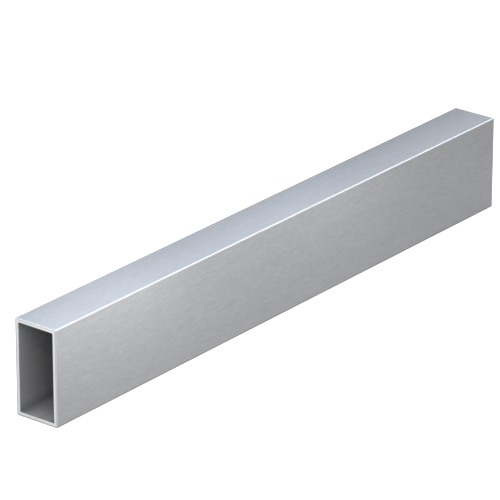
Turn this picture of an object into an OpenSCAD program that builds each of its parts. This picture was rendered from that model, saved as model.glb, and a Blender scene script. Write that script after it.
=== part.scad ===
// Rectangular aluminium post: one straight length of extruded box section.
// It lies on a narrow face with its length along X, wide faces to -Y and +Y.
// The origin is the centre of the face that it rests on. Both ends are sawn
// square, open, and deburred inside and outside.

/* [Section] */
// Height of the section as it lies, the wide side
section_h = 100; // [50:1:200]
// Width of the section as it lies, the narrow side
section_w = 50; // [30:1:120]
// Thickness of all four walls
wall_t = 4; // [2:0.5:8]
// Radius of the four outer corners
outer_r = 1.5; // [1:0.25:6]
// Radius of the four inner corners
inner_r = 1; // [0.5:0.25:4]

/* [Length] */
// Sawn length of the post
post_l = 700; // [150:10:6000]

/* [Cut ends] */
// Deburring chamfer round the outside of each end
outer_chamfer = 0.6; // [0.2:0.1:0.9]
// Deburring chamfer round the mouth of the hollow
inner_chamfer = 0.5; // [0.2:0.1:0.9]

/* [Hidden] */
$fn = 96;
// How far the hollow's cutter runs past each end
overrun = 2;
hollow_h = section_h - 2 * wall_t;
hollow_w = section_w - 2 * wall_t;
// Bare metal with a brushed finish
brushed_aluminium = [0.70, 0.71, 0.73];

// Side outline of a bar whose depth is twice half. Over the last run of its
// length at each end its edges move out by spread, or in where that is negative
module bar_outline(half, bar_l, run, spread)
    polygon([
        [-bar_l / 2, -half - spread],
        [run - bar_l / 2, -half],
        [bar_l / 2 - run, -half],
        [bar_l / 2, -half - spread],
        [bar_l / 2, half + spread],
        [bar_l / 2 - run, half],
        [run - bar_l / 2, half],
        [-bar_l / 2, half + spread]
    ]);

// Round bar along X that carries one rounded corner, with the same ends
module corner_bar(r, bar_l, run, spread)
    rotate([0, 90, 0])
        rotate_extrude()
            polygon([
                [0, -bar_l / 2],
                [r + spread, -bar_l / 2],
                [r, run - bar_l / 2],
                [r, bar_l / 2 - run],
                [r + spread, bar_l / 2],
                [0, bar_l / 2]
            ]);

// Bar along X with a rounded rectangular section, centred on the origin, whose
// ends are drawn in or flared at 45 degrees when spread and run are equal
module rounded_bar(w, h, r, bar_l, run, spread) {
    linear_extrude(h - 2 * r, center = true)
        bar_outline(w / 2, bar_l, run, spread);
    rotate([90, 0, 0])
        linear_extrude(w - 2 * r, center = true)
            bar_outline(h / 2, bar_l, run, spread);
    for (y = [-1, 1], z = [-1, 1])
        translate([0, y * (w / 2 - r), z * (h / 2 - r)])
            corner_bar(r, bar_l, run, spread);
}

// Outside of the extrusion, with a chamfer drawn in at both ends
module outer_block()
    rounded_bar(section_w, section_h, outer_r, post_l, outer_chamfer, -outer_chamfer);

// Hollow that runs right through, flaring at both mouths
module hollow()
    let (flare = inner_chamfer + overrun)
        rounded_bar(hollow_w, hollow_h, inner_r, post_l + 2 * overrun, flare, flare);

module post_tube()
    color(brushed_aluminium)
        translate([0, 0, section_h / 2])
            difference() {
                outer_block();
                hollow();
            }

post_tube();
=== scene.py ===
import math

import bmesh
import bpy
from mathutils import Matrix, Vector


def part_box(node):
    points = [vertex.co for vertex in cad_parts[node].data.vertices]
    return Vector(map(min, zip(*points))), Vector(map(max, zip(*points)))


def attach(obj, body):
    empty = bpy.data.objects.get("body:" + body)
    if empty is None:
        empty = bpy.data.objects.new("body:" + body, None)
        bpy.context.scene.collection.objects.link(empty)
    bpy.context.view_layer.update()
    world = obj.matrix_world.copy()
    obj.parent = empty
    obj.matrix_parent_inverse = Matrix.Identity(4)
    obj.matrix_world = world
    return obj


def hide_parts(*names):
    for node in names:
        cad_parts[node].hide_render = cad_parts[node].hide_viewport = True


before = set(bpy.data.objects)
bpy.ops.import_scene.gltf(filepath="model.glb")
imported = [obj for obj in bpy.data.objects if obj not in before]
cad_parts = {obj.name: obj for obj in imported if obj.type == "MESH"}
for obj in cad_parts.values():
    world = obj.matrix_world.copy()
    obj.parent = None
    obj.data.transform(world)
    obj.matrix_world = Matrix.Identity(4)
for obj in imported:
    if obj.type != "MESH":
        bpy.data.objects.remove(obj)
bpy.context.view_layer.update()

# The looks of one length of brushed rectangular aluminium tube, lying on a
# narrow face. All lengths are in metres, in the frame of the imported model.

post_low, post_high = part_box("post_tube")

# Section of the tube
MM = 0.001
WALL = 4 * MM
OUTER_RADIUS = 1.5 * MM
INNER_RADIUS = 1 * MM
OUTER_CHAMFER = 0.6 * MM
INNER_CHAMFER = 0.5 * MM
LENGTH = post_high.x - post_low.x
WIDTH = post_high.y - post_low.y
HEIGHT = post_high.z - post_low.z
MIDDLE_Z = (post_high.z + post_low.z) / 2

# Fineness of the mesh: steps round a corner, steps over an end edge, bays along the post
CORNER_STEPS = 12
CHAMFER_STEPS = 3
BAYS = 14

# Lengthwise part of a face's normal, at least this on a rim and at most this on a wall
RIM_NORMAL = 0.99
WALL_NORMAL = 0.01

# Lean within which an outside face counts as flat, in degrees
FLAT_WITHIN = 1

# Part of an upper corner whose colour is lifted into a painted highlight, in degrees of lean from the
# wide face
CREST_HIGHLIGHT_LEAN = (14, 84)

# How far the painted shade in the corners of the hollow reaches over its walls
CORNER_SHADE_REACH = 10 * MM

# Depth at which the painted light on a rim starts, and at which it is full, as shares of the wall
RIM_LIGHT_DEPTHS = (0.2, 0.5)

# Part of the noise's range that is stretched over the whole height of the lines
NOISE_RANGE = (0.25, 0.75)

# Materials on the piece, by their place in its slots
BRUSHED, CREST_HIGHLIGHT, LOWER_CORNER, DRAWN, SAWN, DEBURRED = range(6)

# Map whose U runs round the section, across the grain
GRAIN_MAP = "across_the_grain"


def rounded_outline(mesh, height, width, radius):
    """Adds a rounded rectangle in the plane of the left end and returns its edges."""
    earlier = set(mesh.edges)
    # A plate one metre square, shrunk to the section and stood upright at the left end
    at_left_end = (
        Matrix.Translation((post_low.x, 0, MIDDLE_Z))
        @ Matrix.Rotation(math.radians(90), 4, "Y")
        @ Matrix.Diagonal((height, width, 1, 1))
    )
    plate = bmesh.ops.create_grid(mesh, x_segments=1, y_segments=1, size=0.5, matrix=at_left_end)
    bmesh.ops.bevel(
        mesh,
        geom=plate["verts"],
        offset=radius,
        offset_type="OFFSET",
        segments=CORNER_STEPS,
        profile=0.5,
        affect="VERTICES",
        material=-1,
    )
    bmesh.ops.delete(mesh, geom=list(mesh.faces), context="FACES_ONLY")
    return [edge for edge in mesh.edges if edge not in earlier]


def faces_outward(face):
    """True for a face that looks away from the middle of the section."""
    centre = face.calc_center_median()
    return face.normal.y * centre.y + face.normal.z * (centre.z - MIDDLE_Z) > 0


def is_rim(face):
    """True for a face of a sawn end."""
    return abs(face.normal.x) > RIM_NORMAL


def is_wall(face):
    """True for a face that runs along the post, outside or in the hollow."""
    return abs(face.normal.x) < WALL_NORMAL


def deburr(mesh, outside, chamfer):
    """Rounds off the rim edges of both ends, on the outside or in the mouth."""
    rim_edges = []
    for edge in mesh.edges:
        walls = [face for face in edge.link_faces if is_wall(face)]
        rims = [face for face in edge.link_faces if is_rim(face)]
        if walls and rims and faces_outward(walls[0]) == outside:
            rim_edges.append(edge)
    bmesh.ops.bevel(
        mesh,
        geom=rim_edges,
        offset=chamfer,
        offset_type="OFFSET",
        segments=CHAMFER_STEPS,
        profile=0.5,
        affect="EDGES",
        material=-1,
    )


def outside_finish(face):
    """Brushed on the flat faces and up to the crest of an upper corner, whose crest is lightened as a
    painted highlight; a lower corner is not brushed.
    """
    lean = math.degrees(math.atan2(abs(face.normal.z), abs(face.normal.y)))
    if face.calc_center_median().z > MIDDLE_Z:
        return CREST_HIGHLIGHT if CREST_HIGHLIGHT_LEAN[0] < lean < CREST_HIGHLIGHT_LEAN[1] else BRUSHED
    return LOWER_CORNER if FLAT_WITHIN < lean < 90 - FLAT_WITHIN else BRUSHED


def finish_of(face):
    """The mouth of the hollow takes the rims' colour with its painted light, the outside edge the duller
    deburred colour.
    """
    if is_rim(face):
        return SAWN
    if is_wall(face):
        return outside_finish(face) if faces_outward(face) else DRAWN
    return DEBURRED if faces_outward(face) else SAWN


def map_grain(mesh):
    """Unrolls the section into U and the length into V; the rims are laid flat."""
    layer = mesh.loops.layers.uv.new(GRAIN_MAP)
    girth = 2 * (HEIGHT + WIDTH)
    for face in mesh.faces:
        centre = face.calc_center_median()
        face_turn = math.atan2(centre.z - MIDDLE_Z, centre.y)
        for loop in face.loops:
            place = loop.vert.co
            if is_rim(face):
                loop[layer].uv = (place.y, place.z)
                continue
            turn = math.atan2(place.z - MIDDLE_Z, place.y)
            turn += math.tau * round((face_turn - turn) / math.tau)
            loop[layer].uv = (girth * turn / math.tau, place.x)


def extruded_tube():
    """The post: two outlines bridged into a ring, drawn out to length, ends deburred."""
    mesh = bmesh.new()
    outer = rounded_outline(mesh, HEIGHT, WIDTH, OUTER_RADIUS)
    inner = rounded_outline(mesh, HEIGHT - 2 * WALL, WIDTH - 2 * WALL, INNER_RADIUS)
    ring = bmesh.ops.bridge_loops(mesh, edges=outer + inner)
    drawn = bmesh.ops.extrude_face_region(mesh, geom=ring["faces"], use_keep_orig=True)
    far_end = [item for item in drawn["geom"] if isinstance(item, bmesh.types.BMVert)]
    bmesh.ops.translate(mesh, verts=far_end, vec=(LENGTH, 0, 0))
    bmesh.ops.recalc_face_normals(mesh, faces=list(mesh.faces))
    deburr(mesh, outside=True, chamfer=OUTER_CHAMFER)
    deburr(mesh, outside=False, chamfer=INNER_CHAMFER)
    for bay in range(1, BAYS):
        cut_x = post_low.x + LENGTH * bay / BAYS
        everything = list(mesh.verts) + list(mesh.edges) + list(mesh.faces)
        bmesh.ops.bisect_plane(mesh, geom=everything, plane_co=(cut_x, 0, 0), plane_no=(1, 0, 0))
    bmesh.ops.recalc_face_normals(mesh, faces=list(mesh.faces))
    for face in mesh.faces:
        face.smooth = True
        face.material_index = finish_of(face)
    map_grain(mesh)
    return mesh


def new_piece(name, mesh, materials):
    """Puts a finished bmesh into the scene as one object."""
    data = bpy.data.meshes.new(name)
    mesh.to_mesh(data)
    mesh.free()
    for material in materials:
        data.materials.append(material)
    piece = bpy.data.objects.new(name, data)
    bpy.context.scene.collection.objects.link(piece)
    return piece


def add_node(tree, kind, **settings):
    """A new node with the given settings."""
    node = tree.nodes.new(kind)
    for name, value in settings.items():
        setattr(node, name, value)
    return node


def maths(tree, operation, first, second):
    """A Math node on two values, each a socket or a number. Returns its output."""
    node = add_node(tree, "ShaderNodeMath", operation=operation)
    for socket, value in zip(node.inputs, (first, second)):
        if isinstance(value, bpy.types.NodeSocket):
            tree.links.new(value, socket)
        else:
            socket.default_value = value
    return node.outputs["Value"]


def spread(tree, value, low, high, to_low, to_high):
    """Stretches the part of value from low to high over to_low to to_high."""
    node = add_node(tree, "ShaderNodeMapRange")
    tree.links.new(value, node.inputs["Value"])
    for name, number in zip(("From Min", "From Max", "To Min", "To Max"), (low, high, to_low, to_high)):
        node.inputs[name].default_value = number
    return node.outputs["Result"]


def new_group(name, inputs, outputs):
    """A node group with the named sockets. Returns its tree, its input and its output node."""
    tree = bpy.data.node_groups.new(name, "ShaderNodeTree")
    for socket_name, kind, value in inputs:
        socket = tree.interface.new_socket(socket_name, in_out="INPUT", socket_type=kind)
        if value is not None:
            socket.default_value = value
    for socket_name, kind in outputs:
        tree.interface.new_socket(socket_name, in_out="OUTPUT", socket_type=kind)
    return tree, tree.nodes.new("NodeGroupInput"), tree.nodes.new("NodeGroupOutput")


def lines_group():
    """Fine lines along the piece, such as a belt or a die leaves, from 0 in a groove to 1 on a ridge."""
    tree, given, made = new_group(
        "lengthwise_lines",
        [
            ("Coordinates", "NodeSocketVector", None),
            ("Line Width", "NodeSocketFloat", 1 * MM),
            ("Line Length", "NodeSocketFloat", 100 * MM),
            ("Seed", "NodeSocketFloat", 0.0),
        ],
        [("Lines", "NodeSocketFloat")],
    )
    cell = add_node(tree, "ShaderNodeCombineXYZ")
    tree.links.new(given.outputs["Line Length"], cell.inputs["X"])
    tree.links.new(given.outputs["Line Width"], cell.inputs["Y"])
    tree.links.new(given.outputs["Line Width"], cell.inputs["Z"])
    in_cells = add_node(tree, "ShaderNodeVectorMath", operation="DIVIDE")
    tree.links.new(given.outputs["Coordinates"], in_cells.inputs[0])
    tree.links.new(cell.outputs["Vector"], in_cells.inputs[1])
    noise = add_node(tree, "ShaderNodeTexNoise", noise_dimensions="4D")
    noise.inputs["Scale"].default_value = 1
    noise.inputs["Detail"].default_value = 2
    noise.inputs["Roughness"].default_value = 0.6
    tree.links.new(in_cells.outputs["Vector"], noise.inputs["Vector"])
    tree.links.new(given.outputs["Seed"], noise.inputs["W"])
    tree.links.new(spread(tree, noise.outputs["Fac"], *NOISE_RANGE, 0, 1), made.inputs["Lines"])
    return tree


def place_lines(tree, group, coordinates, width, length, seed):
    """Lines of one width and length, in metres. Each seed gives other lines."""
    node = add_node(tree, "ShaderNodeGroup", node_tree=group)
    tree.links.new(coordinates, node.inputs["Coordinates"])
    node.inputs["Line Width"].default_value = width
    node.inputs["Line Length"].default_value = length
    node.inputs["Seed"].default_value = seed
    return node.outputs["Lines"]


def mixed(tree, shares):
    """Sum of sockets, each times its own number."""
    total = None
    for socket, share in shares:
        part = maths(tree, "MULTIPLY", socket, share)
        total = part if total is None else maths(tree, "ADD", total, part)
    return total


def metal(name, roughness):
    """A bare metal material. Returns it with its tree, its shader and the piece's coordinates."""
    material = bpy.data.materials.new(name)
    material.use_nodes = True
    tree = material.node_tree
    shader = tree.nodes["Principled BSDF"]
    shader.inputs["Metallic"].default_value = 1
    shader.inputs["Roughness"].default_value = roughness
    places = add_node(tree, "ShaderNodeTexCoord")
    return material, tree, shader, places.outputs["Object"]


def tone(tree, shader, value, dark, light):
    """Base colour between a dark and a light shade, by value."""
    mix = add_node(tree, "ShaderNodeMix", data_type="RGBA")
    tree.links.new(value, mix.inputs["Factor"])
    mix.inputs["A"].default_value = (*dark, 1)
    mix.inputs["B"].default_value = (*light, 1)
    tree.links.new(mix.outputs["Result"], shader.inputs["Base Color"])


def relief(tree, shader, height, depth):
    """Bump of the given depth in metres."""
    bump = add_node(tree, "ShaderNodeBump")
    bump.inputs["Strength"].default_value = 1
    bump.inputs["Distance"].default_value = depth
    tree.links.new(height, bump.inputs["Height"])
    tree.links.new(bump.outputs["Normal"], shader.inputs["Normal"])


def follow_grain(tree, shader, amount):
    """Stretches the gloss across the grain."""
    tangent = add_node(tree, "ShaderNodeTangent", direction_type="UV_MAP", uv_map=GRAIN_MAP)
    tree.links.new(tangent.outputs["Tangent"], shader.inputs["Tangent"])
    shader.inputs["Anisotropic"].default_value = amount


def brushed_metal(lines):
    """Outer faces, brushed along their length."""
    material, tree, shader, places = metal("brushed_outside", roughness=0.4)
    hair = place_lines(tree, lines, places, width=0.6 * MM, length=11 * MM, seed=1)
    short_line = place_lines(tree, lines, places, width=1.5 * MM, length=9 * MM, seed=2)
    long_line = place_lines(tree, lines, places, width=2.5 * MM, length=70 * MM, seed=3)
    cloud = place_lines(tree, lines, places, width=14 * MM, length=80 * MM, seed=4)
    streaks = mixed(tree, ((hair, 0.34), (short_line, 0.40), (long_line, 0.16), (cloud, 0.10)))
    tone(tree, shader, streaks, dark=(0.304, 0.306, 0.314), light=(0.423, 0.424, 0.433))
    gloss = spread(tree, streaks, 0, 1, to_low=0.45, to_high=0.35)
    tree.links.new(gloss, shader.inputs["Roughness"])
    scratches = mixed(tree, ((hair, 0.4), (short_line, 0.6)))
    relief(tree, shader, scratches, depth=0.015 * MM)
    follow_grain(tree, shader, amount=0.5)
    return material


def crest_highlight_metal(lines):
    """Crest of the upper corners: bare polished metal, lightened further as a painted highlight."""
    material, tree, shader, places = metal("crest_painted_highlight", roughness=0.42)
    line = place_lines(tree, lines, places, width=0.8 * MM, length=200 * MM, seed=5)
    # The light tone paints the highlight along the crest
    tone(tree, shader, line, dark=(0.60, 0.603, 0.607), light=(0.65, 0.653, 0.658))
    return material


def lower_corner_metal(lines):
    """Corners that the post lies on, which the belt does not reach."""
    material, tree, shader, places = metal("lower_corner", roughness=0.2)
    line = place_lines(tree, lines, places, width=0.8 * MM, length=120 * MM, seed=9)
    tone(tree, shader, line, dark=(0.28, 0.28, 0.29), light=(0.36, 0.36, 0.37))
    return material


def from_middle(tree, places):
    """Distances from the middle of the post, along it, across it and up it."""
    axes = add_node(tree, "ShaderNodeSeparateXYZ")
    tree.links.new(places, axes.inputs["Vector"])
    up = maths(tree, "SUBTRACT", axes.outputs["Z"], MIDDLE_Z)
    return [maths(tree, "ABSOLUTE", value, 0) for value in (axes.outputs["X"], axes.outputs["Y"], up)]


def out_of_corner_shade(tree, places):
    """Painted shade in the hollow: 0 in its corners, 1 from the shade's reach away."""
    _, across, up = from_middle(tree, places)
    corner = (WIDTH + HEIGHT) / 2 - 2 * WALL
    return spread(tree, maths(tree, "ADD", across, up), corner - CORNER_SHADE_REACH, corner, 1, 0)


def painted_rim_light(tree, places):
    """0 in the outer part of a rim, which is painted darker, 1 in its inner half, which is painted
    lighter.
    """
    _, across, up = from_middle(tree, places)
    past_side = maths(tree, "SUBTRACT", across, WIDTH / 2)
    past_top = maths(tree, "SUBTRACT", up, HEIGHT / 2)
    start, end = RIM_LIGHT_DEPTHS
    depth = maths(tree, "MAXIMUM", past_side, past_top)
    return spread(tree, depth, -end * WALL, -start * WALL, 1, 0)


def painted_light_to_front(tree, places):
    """Painted light across a rim: 0 at the back wall of the post, 1 at the front wall."""
    axes = add_node(tree, "ShaderNodeSeparateXYZ")
    tree.links.new(places, axes.inputs["Vector"])
    return spread(tree, axes.outputs["Y"], -WIDTH / 2, WIDTH / 2, 1, 0)


def drawn_metal(lines):
    """Walls of the hollow, dull as they left the die, with painted shade darkening the corners."""
    material, tree, shader, places = metal("drawn_inside", roughness=0.6)
    shader.inputs["Metallic"].default_value = 0.75
    line = place_lines(tree, lines, places, width=1.6 * MM, length=120 * MM, seed=6)
    cloud = place_lines(tree, lines, places, width=12 * MM, length=60 * MM, seed=7)
    streaks = mixed(tree, ((line, 0.6), (cloud, 0.4)))
    # The corners of the hollow are darkened by painted shade
    shade = mixed(tree, ((streaks, 0.46), (out_of_corner_shade(tree, places), 0.54)))
    tone(tree, shader, shade, dark=(0.25, 0.25, 0.256), light=(0.555, 0.555, 0.566))
    gloss = spread(tree, streaks, 0, 1, to_low=0.68, to_high=0.56)
    tree.links.new(gloss, shader.inputs["Roughness"])
    relief(tree, shader, line, depth=0.03 * MM)
    return material


def sawn_metal():
    """Rims of the sawn ends, with saw marks; painted light makes them brightest next to the hollow and
    at the front wall.
    """
    material, tree, shader, places = metal("sawn_rim", roughness=0.45)
    mark_length = 30 * MM
    mark_width = 0.4 * MM
    mark_slant = math.radians(20)
    marks = add_node(tree, "ShaderNodeTexNoise")
    marks.inputs["Scale"].default_value = 1
    turned = add_node(tree, "ShaderNodeMapping")
    turned.inputs["Scale"].default_value = (1, 1 / mark_length, 1 / mark_width)
    turned.inputs["Rotation"].default_value = (mark_slant, 0, 0)
    tree.links.new(places, turned.inputs["Vector"])
    tree.links.new(turned.outputs["Vector"], marks.inputs["Vector"])
    # Painted light and shade: the rim lighter next to the hollow and towards the front wall, darker on
    # its outer part
    inner = painted_rim_light(tree, places)
    front = painted_light_to_front(tree, places)
    shade = mixed(tree, ((marks.outputs["Fac"], 0.22), (inner, 0.58), (front, 0.20)))
    tone(tree, shader, shade, dark=(0.41, 0.415, 0.42), light=(0.88, 0.885, 0.89))
    relief(tree, shader, marks.outputs["Fac"], depth=0.02 * MM)
    return material


def deburred_metal(lines):
    """Rounded outside edges of the ends."""
    material, tree, shader, places = metal("deburred_edge", roughness=0.3)
    nicks = place_lines(tree, lines, places, width=0.8 * MM, length=0.8 * MM, seed=8)
    tone(tree, shader, nicks, dark=(0.53, 0.53, 0.535), light=(0.63, 0.63, 0.635))
    return material


def post():
    """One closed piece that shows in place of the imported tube."""
    lines = lines_group()
    materials = [
        brushed_metal(lines),
        crest_highlight_metal(lines),
        lower_corner_metal(lines),
        drawn_metal(lines),
        sawn_metal(),
        deburred_metal(lines),
    ]
    piece = new_piece("brushed_tube", extruded_tube(), materials)
    piece.modifiers.new("flat_faces_stay_flat", "WEIGHTED_NORMAL")
    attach(piece, "root")
    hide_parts("post_tube")


# Floor and sky of the studio
FLOOR_SIZE = 40
FLOOR_GAP = 0.05 * MM
FLOOR_COLOUR = (0.5, 0.5, 0.5)
FLOOR_WHITE = 0.9
FLOOR_SHEEN = 0.32
# Reach of the painted contact shadow in what metal mirrors of the floor
CONTACT_SHADOW_REACH = 3 * MM
SKY_COLOUR = (0.90, 0.95, 1.0)
SKY_STRENGTH = 0.25

# Colours of the lamps
WHITE = (1, 1, 1)
COOL = (0.82, 0.89, 1)

# Soft lamps: place, point lit, width and height, brightness, colour
LAMPS = {
    "high_left": ((-0.80, -0.30, 0.80), (-0.35, 0, 0.05), (0.5, 0.5), 4.4, WHITE),
    "floor_left": ((-0.60, -0.50, 0.36), (-0.22, -0.13, 0), (0.4, 0.4), 1.9, WHITE),
    "rim_top": ((-0.66, 0.42, 0.65), (-0.35, 0, 0.05), (0.4, 0.4), 3.4, WHITE),
    "rim_low": ((-0.72, 0.29, 0.10), (-0.35, 0, 0.03), (0.3, 0.14), 2.45, WHITE),
    "back_near": ((-0.07, 0.17, 0.32), (-0.07, 0, 0.1), (0.3, 0.18), 1.85, COOL),
    "back_mid": ((0.24, 0.17, 0.32), (0.24, 0, 0.1), (0.3, 0.18), 1.1, COOL),
    "back_far": ((0.55, 0.17, 0.32), (0.55, 0, 0.1), (0.3, 0.18), 0.5, COOL),
    "back_close": ((0.15, 0.09, 0.235), (0.15, 0.0, 0.1), (1.0, 0.07), 2.1, COOL),
    "edge_line": ((0.135, -0.064, 0.255), (0.135, -0.025, 0.1), (1.06, 0.08), 4.2, WHITE),
    "front_near": ((-0.205, -0.30, 0.065), (-0.29, 0, 0.055), (0.42, 0.1), 2.5, WHITE),
    "front_mid": ((0.145, -0.30, 0.06), (0.07, 0, 0.05), (0.44, 0.1), 1.9, WHITE),
    "front_far": ((0.50, -0.30, 0.10), (0.36, 0, 0.09), (0.3, 0.1), 1.3, WHITE),
}


def clear_of_painted_shadow(tree):
    """Painted contact shadow: 0 where the post lies on the floor, 1 from the shadow's reach outwards."""
    places = add_node(tree, "ShaderNodeTexCoord")
    along, across, _ = from_middle(tree, places.outputs["Object"])
    past_end = maths(tree, "SUBTRACT", along, LENGTH / 2)
    past_side = maths(tree, "SUBTRACT", across, WIDTH / 2)
    return spread(tree, maths(tree, "MAXIMUM", past_end, past_side), 0, CONTACT_SHADOW_REACH, 0, 1)


def floor_glow(tree):
    """White for the camera, and a softer white for what metal mirrors, with a painted shadow under the
    post. Lights nothing.
    """
    path = add_node(tree, "ShaderNodeLightPath")
    mirrored = maths(tree, "MAXIMUM", path.outputs["Is Glossy Ray"], path.outputs["Is Transmission Ray"])
    # The mirrored glow fades to a painted shadow under the post
    sheen = maths(tree, "MULTIPLY", mirrored, clear_of_painted_shadow(tree))
    return mixed(tree, ((path.outputs["Is Camera Ray"], FLOOR_WHITE), (sheen, FLOOR_SHEEN)))


def pale_floor():
    """A wide matt floor just under the post."""
    material = bpy.data.materials.new("pale_floor")
    material.use_nodes = True
    tree = material.node_tree
    tree.nodes.remove(tree.nodes["Principled BSDF"])
    paint = add_node(tree, "ShaderNodeBsdfDiffuse")
    paint.inputs["Color"].default_value = (*FLOOR_COLOUR, 1)
    glow = add_node(tree, "ShaderNodeEmission")
    tree.links.new(floor_glow(tree), glow.inputs["Strength"])
    both = add_node(tree, "ShaderNodeAddShader")
    tree.links.new(paint.outputs["BSDF"], both.inputs[0])
    tree.links.new(glow.outputs["Emission"], both.inputs[1])
    tree.links.new(both.outputs["Shader"], tree.nodes["Material Output"].inputs["Surface"])
    mesh = bmesh.new()
    down = Matrix.Translation((0, 0, post_low.z - FLOOR_GAP))
    bmesh.ops.create_grid(mesh, x_segments=1, y_segments=1, size=FLOOR_SIZE / 2, matrix=down)
    floor = new_piece("floor", mesh, [material])


def soft_lamps():
    """Area lamps that the camera does not see. Brightness is what a mirror would show of them."""
    for name, (place, aim, size, brightness, colour) in LAMPS.items():
        lamp = bpy.data.lights.new(name, "AREA")
        lamp.shape = "RECTANGLE"
        lamp.size, lamp.size_y = size
        lamp.energy = brightness * math.pi * size[0] * size[1]
        lamp.color = colour
        holder = bpy.data.objects.new(name, lamp)
        holder.location = place
        holder.rotation_euler = (Vector(aim) - Vector(place)).to_track_quat("-Z", "Y").to_euler()
        holder.visible_camera = False
        bpy.context.scene.collection.objects.link(holder)


def sky():
    """A soft cool light from all round, and plain white where the camera sees past the floor."""
    world = bpy.data.worlds.new("studio")
    world.use_nodes = True
    tree = world.node_tree
    light = tree.nodes["Background"]
    light.inputs["Color"].default_value = (*SKY_COLOUR, 1)
    light.inputs["Strength"].default_value = SKY_STRENGTH
    white = add_node(tree, "ShaderNodeBackground")
    white.inputs["Color"].default_value = (1, 1, 1, 1)
    path = add_node(tree, "ShaderNodeLightPath")
    either = add_node(tree, "ShaderNodeMixShader")
    tree.links.new(path.outputs["Is Camera Ray"], either.inputs["Fac"])
    tree.links.new(light.outputs["Background"], either.inputs[1])
    tree.links.new(white.outputs["Background"], either.inputs[2])
    tree.links.new(either.outputs["Shader"], tree.nodes["World Output"].inputs["Surface"])
    bpy.context.scene.world = world


# Camera, fitted to the corners and the outline that the photo shows. Heading is
# measured from +Y towards +X and tilt below the horizon, in degrees
CAMERA_AIM = (-0.009, 0.016, 0.058)
CAMERA_DISTANCE = 4.133
CAMERA_HEADING = 51.6
CAMERA_TILT = 22.79
CAMERA_LENS = 300


def camera():
    """Looks down along the post from beyond its left end, on the -Y side."""
    heading = math.radians(CAMERA_HEADING)
    tilt = math.radians(CAMERA_TILT)
    forward = Vector((
        math.sin(heading) * math.cos(tilt),
        math.cos(heading) * math.cos(tilt),
        -math.sin(tilt),
    ))
    data = bpy.data.cameras.new("camera")
    data.lens = CAMERA_LENS
    holder = bpy.data.objects.new("camera", data)
    holder.location = Vector(CAMERA_AIM) - forward * CAMERA_DISTANCE
    holder.rotation_euler = forward.to_track_quat("-Z", "Y").to_euler()
    bpy.context.scene.collection.objects.link(holder)
    bpy.context.scene.camera = holder


def main():
    """Builds the scene."""
    bpy.context.scene.view_settings.view_transform = "Standard"
    camera()
    post()
    pale_floor()
    sky()
    soft_lamps()
    bpy.context.view_layer.update()


main()
